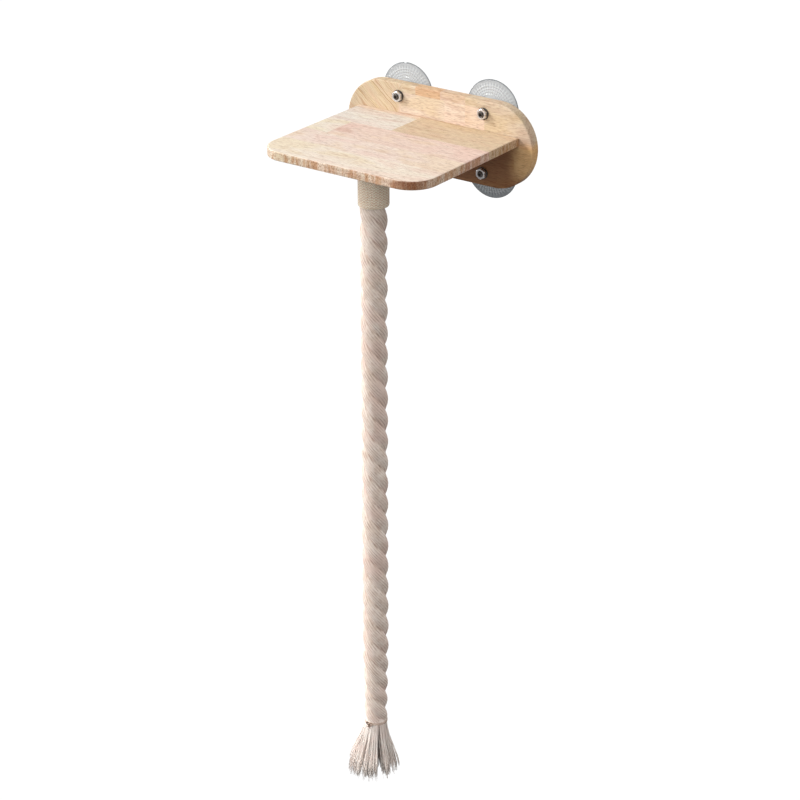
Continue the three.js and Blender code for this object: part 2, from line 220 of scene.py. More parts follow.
print("a screen's middle grey is", round(rgb(128, 128, 128)[0], 3), "to a shader")

# %% [markdown]
# Every new mesh goes through the same last steps: doubles merged, faces turned outwards, smooth
# shading, its finish, the body that it rides on and the nodes that it stands for.

# %% From mesh to dressed piece
def object_of(name, bm, material, smooth_angle=None):
    """Turns a bmesh into an object at the origin; sharp edges stay sharp past smooth_angle."""
    mesh = bpy.data.meshes.new(name)
    bm.to_mesh(mesh)
    bm.free()
    mesh.materials.append(material)
    made = bpy.data.objects.new(name, mesh)
    bpy.context.scene.collection.objects.link(made)
    mesh.shade_smooth()
    if smooth_angle is not None:
        mesh.set_sharp_from_angle(angle=math.radians(smooth_angle))
    return made


def dress(piece, body, slot, *replaced):
    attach(piece, body)
    if replaced:
        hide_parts(*replaced)
    print(piece.name, "faces", len(piece.data.polygons))
    return piece


def tidy(bm, gap=0.002 * mm):
    bmesh.ops.remove_doubles(bm, verts=bm.verts, dist=gap)
    bmesh.ops.recalc_face_normals(bm, faces=bm.faces)
    return bm


# %% [markdown]
# Most hard pieces here are turned, as on a lathe: a profile is spun about an axis. Cords, yarns and
# bent steel are round wires. A curve with a bevel lays one along any line, and is made a mesh at
# once, so that it can be merged and counted like the rest.

# %% Turned shapes and wires
def spun(profile, centre, axis, steps):
    """A bmesh of [radius, height] points turned about an axis through centre; height runs along it."""
    axis = Vector(axis)
    side = axis.orthogonal().normalized()
    bm = bmesh.new()
    points = [bm.verts.new(Vector(centre) + side * radius + axis * height) for radius, height in profile]
    edges = [bm.edges.new(pair) for pair in zip(points, points[1:])]
    bmesh.ops.spin(bm, geom=points + edges, cent=centre, axis=axis, angle=turn, steps=steps, use_merge=True)
    return tidy(bm)


def wires(lines, radius, round_steps=2):
    """Round wires along lines of (place, thickness share) points, as one bmesh."""
    curve = bpy.data.curves.new("wires", "CURVE")
    curve.dimensions = "3D"
    curve.bevel_depth = radius
    curve.bevel_resolution = round_steps
    curve.use_fill_caps = True
    for line in lines:
        spline = curve.splines.new("POLY")
        spline.points.add(len(line) - 1)
        for point, (place, share) in zip(spline.points, line):
            point.co = (*place, 1)
            point.radius = share
    source = bpy.data.objects.new("wires", curve)
    bm = bmesh.new()
    mesh = bpy.data.meshes.new_from_object(source)
    bm.from_mesh(mesh)
    bpy.data.objects.remove(source)
    bpy.data.meshes.remove(mesh)
    return tidy(bm)


# %% [markdown]
# The rope is three strands laid up together. A tube with a striped bump would be quick, but its
# outline would be straight, and the real one is a row of bulges. So the rope's cut end, three
# strands pressed together, is drawn as one round of edges and extruded down in short turning
# steps.

# %% Rope sizes
rope_low, rope_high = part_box("scratch_rope")
rope_middle = (rope_low + rope_high) / 2
rope_radius = (rope_high.x - rope_low.x) / 2
rope_length = rope_high.z - rope_low.z
rope_head = Vector((rope_middle.x, rope_middle.y, rope_high.z))
strand_count = 3
strand_radius = 11.9 * mm
strand_reach = rope_radius - strand_radius
strand_points = 80
print("rope", round(rope_length, 4), "m long,", round(2 * rope_radius, 4), "m thick")

# %% The rope's cut end
def strand_half_angle():
    """How far round its own middle a strand shows before it meets the next one."""
    meeting = (strand_reach + math.sqrt(4 * strand_radius ** 2 - 3 * strand_reach ** 2)) / 2
    return math.atan2(meeting * math.sin(turn / 6), meeting * math.cos(turn / 6) - strand_reach)


def rope_end(bm, round_strand):
    half = strand_half_angle()
    verts = []
    for strand in range(strand_count):
        heading = Matrix.Rotation(turn * strand / strand_count, 3, "Z")
        for i in range(strand_points):
            angle = half * (2 * i / strand_points - 1)
            out = Vector((strand_reach + strand_radius * math.cos(angle), strand_radius * math.sin(angle), 0))
            vert = bm.verts.new(rope_head + heading @ out)
            vert[round_strand] = angle + strand * turn
            verts.append(vert)
    return [bm.edges.new(pair) for pair in zip(verts, verts[1:] + verts[:1])]


print("a strand shows", round(math.degrees(2 * strand_half_angle())), "degrees of its round")

# %% [markdown]
# The lay is the length in which a strand winds once round the rope. Towards its tied end the rope
# is laid tighter and drawn in, as the photo shows, so one blend from 0 to 1 steers both.

# %% Laying up
lay_length = 93.5 * mm
lay_length_at_end = 79 * mm
tighter_from = -690 * mm
rope_step = 3 * mm


def clamped(value):
    return min(1, max(0, value))


def end_blend(z):
    """From 0 where the rope is even to 1 at its tied end."""
    share = clamped((tighter_from - z) / (tighter_from - rope_low.z))
    return share * share * (3 - 2 * share)


def lay_up(bm, edges, turned):
    """Extrudes the round of edges down in steps, each turned a little on."""
    steps = round(rope_length / rope_step)
    drop = rope_length / steps
    gone = 0
    for step in range(steps):
        z = rope_high.z - drop * (step + 1)
        angle = turn * drop / (lay_length + (lay_length_at_end - lay_length) * end_blend(z))
        gone += angle
        grown = bmesh.ops.extrude_edge_only(bm, edges=edges)["geom"]
        verts = [item for item in grown if isinstance(item, bmesh.types.BMVert)]
        edges = [item for item in grown if isinstance(item, bmesh.types.BMEdge)]
        spin = Matrix.Rotation(angle, 3, "Z")
        bmesh.ops.rotate(bm, verts=verts, cent=(rope_middle.x, rope_middle.y, 0), matrix=spin)
        bmesh.ops.translate(bm, verts=verts, vec=(0, 0, -drop))
        for vert in verts:
            vert[turned] = gone


# %% [markdown]
# A strand is spun from yarns, which wind back a little as the strand winds on. Their grooves are
# dips in the mesh. Each point also keeps its place in the strand before it was laid, so that the
# fibres can follow the yarns, and how much painted shade it gets in the grooves between yarns and strands.

# %% Yarns
yarns_round_strand = 17
yarn_depth = 0.5 * mm
yarn_slip = 0.38
yarn_roundness = 0.7
# How dark the painted shade is in the yarns' grooves and in the valleys between the strands
yarn_shade, valley_shade = 0.8, 0.5
valley_from = 0.8
end_share = 0.89


def part_yarns(bm, round_strand, turned, unlaid, sunk):
    """Sinks the grooves between the yarns, keeps how much painted shade each point gets, and draws the rope
    in towards its tied end.
    """
    bm.normal_update()
    valley_width = 1 - valley_from
    half = strand_half_angle()
    for vert in bm.verts:
        off_crown = abs((vert[round_strand] + turn / 2) % turn - turn / 2) / half
        angle = vert[round_strand] + vert[turned] * yarn_slip
        groove = 1 - abs(math.sin(angle * yarns_round_strand / 2)) ** yarn_roundness
        vert[unlaid] = (math.cos(angle) * strand_radius, math.sin(angle) * strand_radius, vert.co.z)
        valley = clamped((off_crown - valley_from) / valley_width)
        # Painted shade: the grooves and the valleys between the strands are marked to be darker
        vert[sunk] = max(groove * yarn_shade, valley * valley_shade)
        share = 1 - (1 - end_share) * end_blend(vert.co.z)
        place = vert.co - vert.normal * yarn_depth * groove
        vert.co.x = rope_middle.x + (place.x - rope_middle.x) * share
        vert.co.y = rope_middle.y + (place.y - rope_middle.y) * share


# %% [markdown]
# The whole rope is turned so that its first notch on the right lies where the photo has it.

# %% Rope
first_notch = -61.2 * mm
rope_sharp_angle = 60


def scratch_rope(material):
    bm = bmesh.new()
    round_strand = bm.verts.layers.float.new("round_strand")
    turned = bm.verts.layers.float.new("turned")
    unlaid = bm.verts.layers.float_vector.new("unlaid")
    sunk = bm.verts.layers.float.new("sunk")
    lay_up(bm, rope_end(bm, round_strand), turned)
    notch_turn = turn * (rope_high.z - first_notch) / lay_length
    start = Matrix.Rotation(camera_azimuth + turn / 6 - notch_turn, 3, "Z")
    bmesh.ops.rotate(bm, verts=bm.verts, cent=(rope_middle.x, rope_middle.y, 0), matrix=start)
    bmesh.ops.recalc_face_normals(bm, faces=bm.faces)
    part_yarns(bm, round_strand, turned, unlaid, sunk)
    bmesh.ops.holes_fill(bm, edges=bm.edges)
    bmesh.ops.recalc_face_normals(bm, faces=bm.faces)
    return object_of("scratch_rope_strands", bm, material, rope_sharp_angle)


# %% [markdown]
# Cotton is pale and dull. What the eye reads as cotton is the fine fibre along each yarn, painted
# shade in the grooves, and slow changes of tint down the rope. The fibres are a noise that is
# stretched along the strand, read from the place that each point had before it was laid up.

# %% Cotton
pink_cotton = rgb(232, 202, 190)
# The colour of the painted shade in the rope's grooves
painted_groove_shade = rgb(160, 124, 104)
fibre_scale = 1100


def cotton(name, light, dark, scale_along, laid_up=False, sheen=0.15, pinkness=0.5):
    finish = Finish(name, {"Roughness": 0.92, "Sheen Weight": sheen, "Specular IOR Level": 0.2})
    place = finish.place()
    if laid_up:
        place = finish.node("ShaderNodeAttribute", {"attribute_name": "unlaid"}, output="Vector")
    x, y, z = finish.parts(place)
    fibre = finish.noise(finish.vector(x * fibre_scale, y * fibre_scale, z * scale_along), detail=3)
    cloud = finish.noise(finish.place(), scale=70, detail=4)
    tint = finish.noise(finish.place(), scale=22, detail=2)
    shade = finish.step(fibre, 0.3, 0.7) * 0.6 + finish.step(cloud, 0.3, 0.7) * 0.4
    colour = finish.mix(dark, light, shade)
    colour = finish.mix(colour, pink_cotton, finish.step(tint, 0.46, 0.66) * pinkness)
    if laid_up:
        # Painted shade, a little patchy, in the grooves and in the valleys between the strands
        sunk = finish.node("ShaderNodeAttribute", {"attribute_name": "sunk"}, output="Fac")
        patchy = finish.step(finish.noise(finish.place(), scale=90, detail=3), 0.3, 0.65) * 0.8 + 0.2
        colour = finish.mix(colour, painted_groove_shade, finish.step(sunk, 0.1, 0.9) * patchy, "MULTIPLY")
    return finish.use({"Base Color": colour, "Normal": finish.bump(fibre, 0.3 * mm, 0.8)})


rope_cotton = cotton("rope_cotton", rgb(255, 243, 233), rgb(220, 197, 179), scale_along=190, laid_up=True)
rope = dress(scratch_rope(rope_cotton), "rope", "rope_cotton", "scratch_rope")

# %% [markdown]
# The tassel is the rope's own end, combed out. Over a thousand thin yarns run from inside the
# rope's end to a ragged cone. They lie in locks, since combed cotton clumps. The cone is split in
# front, where the inside shows dark, it is thinner on the right, and some finer wisps stand off
# on the left. Each yarn is a wire with four sides, so that many stay light.

# %% Tassel sizes
tassel_low, tassel_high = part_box("rope_tassel")
tassel_radius = (tassel_high.x - tassel_low.x) / 2
tassel_length = tassel_high.z - tassel_low.z
tassel_yarn_radius = 0.6 * mm
tassel_yarns = 1300
tassel_wisps = 210
wisp_angle = math.radians(-152)
wisp_spread = 0.75
tassel_lean = Vector((-math.cos(camera_azimuth), -math.sin(camera_azimuth), 0)) * 1.6 * mm
tassel_seed = 11
lock_count = 34
lock_spread, lock_spread_at_end = 0.1, 0.07
split_angle = math.radians(-38)
split_half, split_from = 0.16, 0.3
thin_side = math.radians(40)
thin_half, thin_from, thin_share = 0.7, 0.62, 0.85
yarn_waver = 0.006
# How far down the tassel, and how wide there, as shares of its length and radius
flare = [(-0.06, 0.31), (0.01, 0.4), (0.2, 0.45), (0.42, 0.6), (0.64, 0.775), (0.84, 0.92), (1.0, 1.0)]
free_from = 0.3
wisp_thickness_share, tip_thickness_share = 0.4, 0.5
print("tassel", round(tassel_length, 4), "m long,", round(2 * tassel_radius, 4), "m wide")

# %% [markdown]
# One yarn is a line of points that follows the cone's flare. Chance decides how deep inside it
# lies, where its lock takes it, how much it wavers and where it ends. The draws are seeded, so the
# same tassel comes out each time.

# %% One yarn
def turned_by(angle, reference):
    """How far an angle lies past a reference, from minus half a turn to half a turn."""
    return (angle - reference + turn / 2) % turn - turn / 2


def tassel_yarn(draw, lock, lean, thin):
    """One combed yarn's line from inside the rope to the ragged end, or None where it is left out."""
    deep = draw.random() ** 0.4
    from_angle = lock + draw.gauss(0, lock_spread)
    to_angle = lock + draw.gauss(0, lock_spread_at_end) + 0.05 * lean
    wide = deep * (1 + 0.03 * lean) * draw.uniform(0.95, 1.01)
    length = tassel_length * (1 + 0.04 * lean) * draw.triangular(0.8, 1.0, 0.97)
    if thin:
        to_angle = draw.gauss(wisp_angle, wisp_spread)
        from_angle = to_angle + draw.gauss(0, 0.15)
        wide, length = draw.uniform(0.85, 1.03), tassel_length * draw.uniform(0.94, 1.06)
    if abs(turned_by(to_angle, split_angle)) < split_half and deep > split_from:
        return None
    if abs(turned_by(to_angle, thin_side)) < thin_half and deep > thin_from and draw.random() < thin_share:
        return None
    line = []
    for down, share in flare:
        inside = max(0, down)
        here = from_angle + (to_angle - from_angle) * inside + draw.gauss(0, yarn_waver)
        radius = share * tassel_radius * (wide if inside > free_from else min(1, wide + 0.05))
        place = (
            rope_middle.x + radius * math.cos(here) + tassel_lean.x * inside,
            rope_middle.y + radius * math.sin(here) + tassel_lean.y * inside,
            tassel_high.z - length * down,
        )
        thickness = (wisp_thickness_share if thin else 1) * (tip_thickness_share if down == 1 else 1)
        line.append((place, thickness))
    return line


# %% Tassel
def tassel_lines():
    draw = random.Random(tassel_seed)
    locks = [
        (turn * (i + draw.uniform(-0.3, 0.3)) / lock_count, draw.uniform(-1, 1)) for i in range(lock_count)
    ]
    lines = []
    for i in range(tassel_yarns + tassel_wisps):
        lock, lean = locks[draw.randrange(lock_count)]
        lines.append(tassel_yarn(draw, lock, lean, i >= tassel_yarns))
    return [line for line in lines if line]


tassel_cotton = cotton(
    "tassel_cotton", rgb(252, 247, 240), rgb(247, 230, 220), scale_along=90, sheen=0.4, pinkness=0.25)
tassel = object_of("combed_tassel", wires(tassel_lines(), tassel_yarn_radius, 0), tassel_cotton)
dress(tassel, "rope", "rope_cotton", "rope_tassel")

# %% [markdown]
# A thin cord binds the rope's end in three tight turns. A ring would do from far off, but the
# turns wind down, so the cord is a wire along a winding line.

# %% Tie
tie_low, tie_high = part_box("rope_tie")
tie_radius = (tie_high.x - tie_low.x) / 2
tie_height = tie_high.z - tie_low.z
tie_cord_radius = 0.85 * mm
tie_reach = tie_radius - tie_cord_radius
tie_turns, steps_in_turn = 3, 60
knot_angle = math.radians(-93)


def tie_line():
    """The cord's turns, from the top of the tie down."""
    steps = steps_in_turn * tie_turns
    climb = tie_height - 2 * tie_cord_radius
    line = []
    for i in range(steps + 1):
        angle = knot_angle + turn * tie_turns * i / steps
        x, y = rope_middle.x + tie_reach * math.cos(angle), rope_middle.y + tie_reach * math.sin(angle)
        line.append(((x, y, tie_high.z - tie_cord_radius - climb * i / steps), 1))
    return line


tie_cotton = cotton("tie_cotton", rgb(222, 202, 184), rgb(170, 148, 130), scale_along=900)
tie = object_of("tie_cord", wires([tie_line()], tie_cord_radius), tie_cotton)
dress(tie, "rope", "tie_cord", "rope_tie")

# %% [markdown]
# The knot sits at the front. It is the tie's own cord, painted darker as shade. At this size the way
# that its cord runs can't be seen, so it is a closed bow-shaped loop of the same wire with two cut ends.

# %% Knot
knot_out = Vector((math.cos(knot_angle), math.sin(knot_angle), 0))
knot_side = Vector((-knot_out.y, knot_out.x, 0))
knot_up = Vector((0, 0, 1))
knot_proud = 0.9 * mm
knot_middle = Vector((rope_middle.x, rope_middle.y, (tie_low.z + tie_high.z) / 2))
knot_middle += knot_out * (tie_reach + knot_proud)
knot_width, knot_height, knot_depth = 4.6 * mm, 2.0 * mm, 0.8 * mm
knot_steps = 40
end_reach, end_lift = 2 * mm, 0.9 * mm
end_leans_and_drops = [(1.0, 6.5 * mm), (-0.7, 5.0 * mm)]


def knot_line():
    """A loop shaped like an eight on its side, with its lobes bent outwards."""
    line = []
    for i in range(knot_steps + 1):
        at = turn * i / knot_steps
        across = knot_side * knot_width * math.sin(at)
        high = knot_up * knot_height * math.sin(2 * at)
        line.append((tuple(knot_middle + across + high + knot_out * knot_depth * math.cos(3 * at)), 1))
    return line


def cut_end_line(lean, drop):
    line = []
    for at in (0, 0.25, 0.5, 0.75, 1):
        away = knot_side * lean * end_reach * at + knot_out * end_lift * at * (2 - at)
        line.append((tuple(knot_middle + away - knot_up * drop * at), 1 - 0.3 * at))
    return line


knot_lines = [knot_line(), *[cut_end_line(lean, drop) for lean, drop in end_leans_and_drops]]
# Painted shade: the knot's cotton is a darker copy of the tie's
knot_cotton_painted_shade = cotton("knot_cotton_painted_shade", rgb(176, 150, 130), rgb(116, 92, 78), scale_along=900)
tie_knot = object_of("tie_knot", wires(knot_lines, tie_cord_radius), knot_cotton_painted_shade)
dress(tie_knot, "rope", "tie_cord")

# %% [markdown]
# A short sleeve of knitted cloth hides the rope's head and its plug, and stands up round the
# rope's eye. It is a real wall with an inside, turned from a profile, and both ends are drawn in.
# The knit is rows of small Vs, made from the angle round the sleeve and the height, so it closes
# with no seam. The gaps between the stitches get the dark colour, which is painted shade.

# %% Collar
collar_low, collar_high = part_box("rope_collar")
collar_radius = (collar_high.x - collar_low.x) / 2
collar_wall = 2.05 * mm
collar_steps = 132
knit_columns = 24
knit_row = 3.4 * mm
# Each end of the wall as shares of the wall's thickness and of the hem's height
hem_shares = [(0.35, 0.0), (0.62, 0.05), (0.83, 0.22), (0.95, 0.52), (1.0, 1.0)]
hem_height = 3.4 * mm
hem_turn_in = 0.6 * mm
wall_rows = 14
collar_sharp_angle = 60


def collar_profile():
    inner = collar_radius - collar_wall
    height = collar_high.z - collar_low.z
    lower = [(inner + collar_wall * wide, hem_height * high) for wide, high in hem_shares]
    upper = [(radius, height - z) for radius, z in reversed(lower)]
    first, last = lower[-1][1], upper[0][1]
    wall = [(collar_radius, first + (last - first) * i / wall_rows) for i in range(1, wall_rows)]
    inside = [(inner, height - hem_turn_in), (inner, hem_turn_in)]
    return lower + wall + upper + inside + [lower[0]]


# %% Knit
def knit(name, light, dark):
    finish = Finish(name, {"Roughness": 0.95, "Sheen Weight": 0.1, "Specular IOR Level": 0.2})
    x, y, z = finish.parts(finish.place())
    angle = (y - rope_middle.y).maths("ARCTAN2", x - rope_middle.x)
    column = (angle * (knit_columns / turn) + knit_columns).maths("FRACT", 0)
    leg = (column - 0.5).maths("ABSOLUTE", 0)
    row = (z * (1 / knit_row) - leg * 1.5) * turn
    stitch = row.maths("SINE", 0) * 0.5 + 0.5
    rib = 1 - finish.step(leg, 0.32, 0.5) * 0.7
    yarn = stitch * rib
    cloud = finish.noise(finish.place(), scale=220, detail=4)
    # Painted shade: the gaps between the stitches take the dark colour
    colour = finish.mix(dark, light, finish.step(yarn * 0.75 + cloud * 0.35, 0.12, 0.46))
    return finish.use({"Base Color": colour, "Normal": finish.bump(yarn + cloud * 0.3, 0.7 * mm, 0.7)})


collar_cloth = knit("collar_knit", rgb(255, 243, 222), rgb(222, 176, 138))
collar_foot = (rope_middle.x, rope_middle.y, collar_low.z)
collar_wall_mesh = spun(collar_profile(), collar_foot, (0, 0, 1), collar_steps)
collar = object_of("knitted_collar", collar_wall_mesh, collar_cloth, collar_sharp_angle)
dress(collar, "rope", "collar_cloth", "rope_collar")

# %% [markdown]
# The rope leaves its wooden head at the top and ends in its tie and tassel, so they go with it.

# %% [markdown]
# Both boards are rubberwood, glued up from strips whose ends are finger-jointed, so each is a
# patchwork of pale blocks. An image would repeat and would stop at the edges. The blocks here go
# right through, so one rule in X and across paints top, edge and underside.

# %% Blocks of wood
joint_waver = 1.6 * mm
# Each block: from and to in X, from and to across, in millimetres, and its tint
panel_blocks = [
    (-25, 130, -91, -10, rgb(219, 197, 166)),
    (-130, -25, -91, -33, rgb(233, 226, 214)),
    (-88, 130, -145, -91, rgb(232, 209, 194)),
    (-130, -88, -145, -91, rgb(236, 226, 209)),
    (-130, 130, -190, -145, rgb(234, 216, 202)),
    (-130, 130, -250, -190, rgb(237, 225, 208)),
]
board_blocks = [
    (-36, 3, 46, 60, rgb(222, 188, 150)),
    (3, 42, 46, 60, rgb(224, 200, 178)),
    (-62, 10, 18, 46, rgb(229, 211, 190)),
    (10, 42, 18, 46, rgb(235, 217, 198)),
    (42, 72, 18, 46, rgb(233, 210, 188)),
    (-150, -62, -60, 60, rgb(223, 205, 174)),
    (-62, 40, -20, 18, rgb(221, 194, 165)),
    (40, 118, -24, 16, rgb(219, 190, 159)),
    # Painted shade: the lower strip, under the plate, is dark brown
    (-150, 150, -60, 4, rgb(158, 113, 76)),
]


def block_colour(finish, x, side, blocks, base):
    """The blocks' colour, and how far each block's grain is shifted along so that it doesn't run on."""
    saw = (finish.noise(finish.place(), scale=900, detail=0) - 0.5) * joint_waver
    colour, shift = base, 0.0
    for number, (x_from, x_to, side_from, side_to, tint) in enumerate(blocks):
        along = ((x + saw) > x_from * mm) * ((x + saw) < x_to * mm)
        block = along * (side > side_from * mm) * (side < side_to * mm)
        colour = finish.mix(colour, tint, block)
        shift = block * (0.37 * (number + 1)) + shift
    return colour, shift


# %% [markdown]
# On top of the blocks lie slow growth rings, fine streaks, short dark pores, and a blush that
# drifts from pink to yellow. The board's left end is cut from a slanting plank, so its rings run
# at an angle. Each pattern is a noise that is stretched along the grain.

# %% Grain
slant_blend = 5 * mm
slant_waver = 12 * mm
ring_shade, streak_shade, pore_shade = rgb(196, 146, 104), rgb(180, 130, 96), rgb(134, 92, 64)
pink_blush, yellow_blush = rgb(250, 232, 230), rgb(250, 244, 222)


def slanted(finish, x, side, slanting):
    """The place across the grain, turned and squeezed where the plank slants."""
    waver = finish.noise(finish.place(), scale=28, detail=2) - 0.5
    return (side + (x * 0.8 + waver * slant_waver) * slanting) * (slanting * 2.4 + 1)


def grained(finish, colour, run, side, depth, shift, ring_depth):
    """The colour with its grain on it, and the streaks and pores for the relief."""
    warp = finish.noise(finish.vector(run * 6, side * 30, depth * 30), detail=2)
    rings = finish.noise(finish.vector(run * 12, side * 190 + warp * 8 + shift * 9, depth * 60), detail=3)
    streak = finish.noise(finish.vector(run * 100, side * 850, depth * 400), detail=4)
    pores = finish.noise(finish.vector(run * 120, side * 1300, depth * 1500), detail=1)
    blush = finish.noise(finish.vector(run * 14, side * 34, depth * 30), detail=2)
    for shade, amount in (
        (ring_shade, finish.step(rings, 0.48, 0.74) * ring_depth),
        (streak_shade, finish.step(streak, 0.43, 0.68) * 0.36),
        (pore_shade, finish.step(pores, 0.6, 0.72) * 0.5),
        (pink_blush, finish.step(blush, 0.5, 0.66) * 0.45),
        (yellow_blush, finish.step(0 - blush, -0.5, -0.36) * 0.55),
    ):
        colour = finish.mix(colour, shade, amount, "MULTIPLY")
    return colour, streak, pores


# %% [markdown]
# Edges are drier. The plate's edge is mottled brown with upright flecks from the saw, and its
# front right corner is darkest, which is painted shade. A face counts as edge where its normal
# turns away from the board's flat sides, so the rounded rims blend.

# %% Edges
# The patches and flecks are the wood's own; the corner's colour is painted shade
patch_shade, fleck_shade, painted_corner_shade = rgb(226, 192, 162), rgb(186, 148, 120), rgb(182, 138, 104)
corner_blend = 20 * mm


def edge_wood(finish, colour, place, tint, flecks, painted_shade_corner_from, flat_axis):
    """The colour on the edges, and how much of an edge each point is."""
    x, across, depth = place
    facing = finish.parts(finish.node("ShaderNodeNewGeometry", output="Normal"))
    edge = 1 - finish.step(facing[flat_axis].maths("ABSOLUTE", 0), 0.3, 0.75)
    fleck = finish.noise(finish.vector(x * 820, across * 820, depth * 420), detail=4)
    patch = finish.noise(finish.vector(x * 170, across * 170, depth * 30), detail=3)
    colour = finish.mix(colour, tint, 1.0, "MULTIPLY")
    colour = finish.mix(colour, patch_shade, finish.step(patch, 0.42, 0.62) * flecks, "MULTIPLY")
    colour = finish.mix(colour, fleck_shade, finish.step(fleck, 0.48, 0.68) * flecks, "MULTIPLY")
    # Painted shade: the edge darkens towards the front right corner, but not on the end face
    if painted_shade_corner_from is not None:
        corner = finish.step(x, painted_shade_corner_from, painted_shade_corner_from + corner_blend)
        corner = corner * (1 - finish.step(facing[0], 0.8, 0.98))
        colour = finish.mix(colour, painted_corner_shade, corner * 0.8, "MULTIPLY")
    return colour, edge


# %% [markdown]
# The back board's lower strip is painted dark brown as shade, and its right end is painted golden
# as light. The golden part is the only one with no joint at its edge, so it is a soft mask and not one of the
# blocks.
# Then blocks, grain and edges come together in one finish, oiled thinly, with dry pores.

# %% Wood
# The colour of the painted light on the lower strip's right end
painted_golden_light = rgb(235, 194, 140)
golden_blend = 26 * mm
golden_low, golden_full, golden_fading, golden_high = -50 * mm, -22 * mm, 4 * mm, 16 * mm


def wood(
    name, across, blocks, base, edge_tint, edge_flecks,
    slant_before=None, painted_shade_corner_from=None, golden_from=None,
):
    finish = Finish(name, {"Coat Roughness": 0.35, "Specular IOR Level": 0.35})
    x, y, z = finish.parts(finish.place())
    side, depth = (y, z) if across == "Y" else (z, y)
    edge_place = (x, side, depth)
    colour, shift = block_colour(finish, x, side, blocks, base)
    # Painted light: the lower strip's right end turns golden
    if golden_from is not None:
        golden = finish.step(x, golden_from, golden_from + golden_blend)
        golden = golden * finish.step(side, golden_low, golden_full)
        golden = golden * (1 - finish.step(side, golden_fading, golden_high))
        colour = finish.mix(colour, painted_golden_light, golden)
    ring_depth = 0.3
    if slant_before is not None:
        slanting = 1 - finish.step(x, slant_before - slant_blend, slant_before + slant_blend)
        side = slanted(finish, x, side, slanting)
        ring_depth = slanting * 0.4 + ring_depth
    colour, streak, pores = grained(finish, colour, x + shift, side, depth, shift, ring_depth)
    flat_axis = 2 if across == "Y" else 1
    edge_colour, edge = edge_wood(
        finish, colour, edge_place, edge_tint, edge_flecks, painted_shade_corner_from, flat_axis)
    return finish.use({
        "Base Color": finish.mix(colour, edge_colour, edge),
        "Roughness": 0.42 + streak * 0.22,
        "Coat Weight": 0.12 - finish.step(pores, 0.6, 0.75) * 0.1,
        "Normal": finish.bump(streak * 0.5 + pores * 0.5, 0.12 * mm, 0.5),
    })


# %% Plate and back board
panel_wood = wood(
    "panel_rubberwood", "Y", panel_blocks, base=rgb(233, 213, 193),
    edge_tint=rgb(255, 252, 246), edge_flecks=0.85, painted_shade_corner_from=76 * mm,
)
board_wood = wood(
    "board_rubberwood", "Z", board_blocks, base=rgb(222, 203, 177),
    edge_tint=rgb(255, 253, 248), edge_flecks=0.15, slant_before=-62 * mm, golden_from=104 * mm,
)


def refinish(node_name, material):
    """Gives a CAD node another finish; its shape stays."""
    nodes[node_name].data.materials.clear()
    nodes[node_name].data.materials.append(material)
    print(node_name, "finished in", material.name)


refinish("shelf_panel", panel_wood)
refinish("back_board", board_wood)

# %% [markdown]
# The hidden wood, the rope's head plug and the dowels, is plain turned beech: darker than the
# boards and unpolished, with upright streaks and short dark flecks.

# %% Turned wood
def turned_wood(name):
    finish = Finish(name, {"Roughness": 0.62})
    x, y, z = finish.parts(finish.place())
    grain = finish.noise(finish.vector(x * 500, y * 500, z * 60), detail=3)
    fleck = finish.noise(finish.vector(x * 1800, y * 1800, z * 260), detail=1)
    tones = (0.3, rgb(176, 134, 92)), (0.5, rgb(208, 166, 120)), (0.72, rgb(222, 184, 138))
    colour = finish.ramp(grain, *tones)
    colour = finish.mix(colour, rgb(128, 88, 56), finish.step(fleck, 0.62, 0.74) * 0.5, "MULTIPLY")
    return finish.use({"Base Color": colour, "Normal": finish.bump(grain, 0.1 * mm, 0.4)})


plug_wood = turned_wood("turned_beech")
for node_name in ("rope_plug", "shelf_dowel_left", "shelf_dowel_right"):
    refinish(node_name, plug_wood)

# %% [markdown]
# Zinc-plated steel is bright but never a perfect mirror. A little roughness that varies, faint
# turning marks and a few dull spots keep it from looking like chrome. The nuts are the bright
# ones. The studs are painted darker as shade, and the washers darker as shade and dark reflection.

# %% Steel
def plated_steel(name, bright, worn, roughness):
    finish = Finish(name, {"Metallic": 1.0})
    place = finish.place()
    spots = finish.noise(place, scale=420, detail=3)
    marks = finish.noise(place, scale=2600, detail=1)
    colour = finish.mix(bright, worn, finish.step(spots, 0.5, 0.75))
    return finish.use({
        "Base Color": colour,
        "Roughness": roughness + finish.step(spots, 0.4, 0.8) * 0.16,
        "Normal": finish.bump(marks, 0.02 * mm, 0.25),
    })


steel = plated_steel("zinc_plated_steel", rgb(236, 236, 238), rgb(196, 194, 192), 0.26)
# Painted shade: the studs' steel is a darker copy of the nuts'
painted_dark_stud_steel = plated_steel("stud_steel_painted_shade", rgb(118, 114, 111), rgb(80, 77, 74), 0.3)
# Painted shade and reflection: the washers' steel is darker, as if shaded and mirroring dark things
painted_dark_washer_steel = plated_steel("washer_steel_painted_reflection", rgb(112, 108, 105), rgb(76, 72, 70), 0.4)

# %% [markdown]
# The CAD bolts, nuts and screws have few sides and no thread. They are turned again here from
# finer profiles whose zigzags are the thread, with broken edges that catch the light.

# %% Threads
thread_pitch = 1.25 * mm
thread_depth = 0.5 * mm
thread_shares = (0.1, 0.45, 0.65)
fine_steps = 48
overrun = 1 * mm
steel_sharp_angle = 30
out_of_wall = (0, -1, 0)


def thread(radius, low, high):
    """Zigzag profile points from low to high."""
    turns = max(1, round((high - low) / thread_pitch))
    pitch = (high - low) / turns
    points = []
    root, rising, falling = thread_shares
    for i in range(turns):
        at = low + pitch * i
        points.append((radius - thread_depth, at + root * pitch))
        points += [(radius, at + rising * pitch), (radius, at + falling * pitch)]
    return points


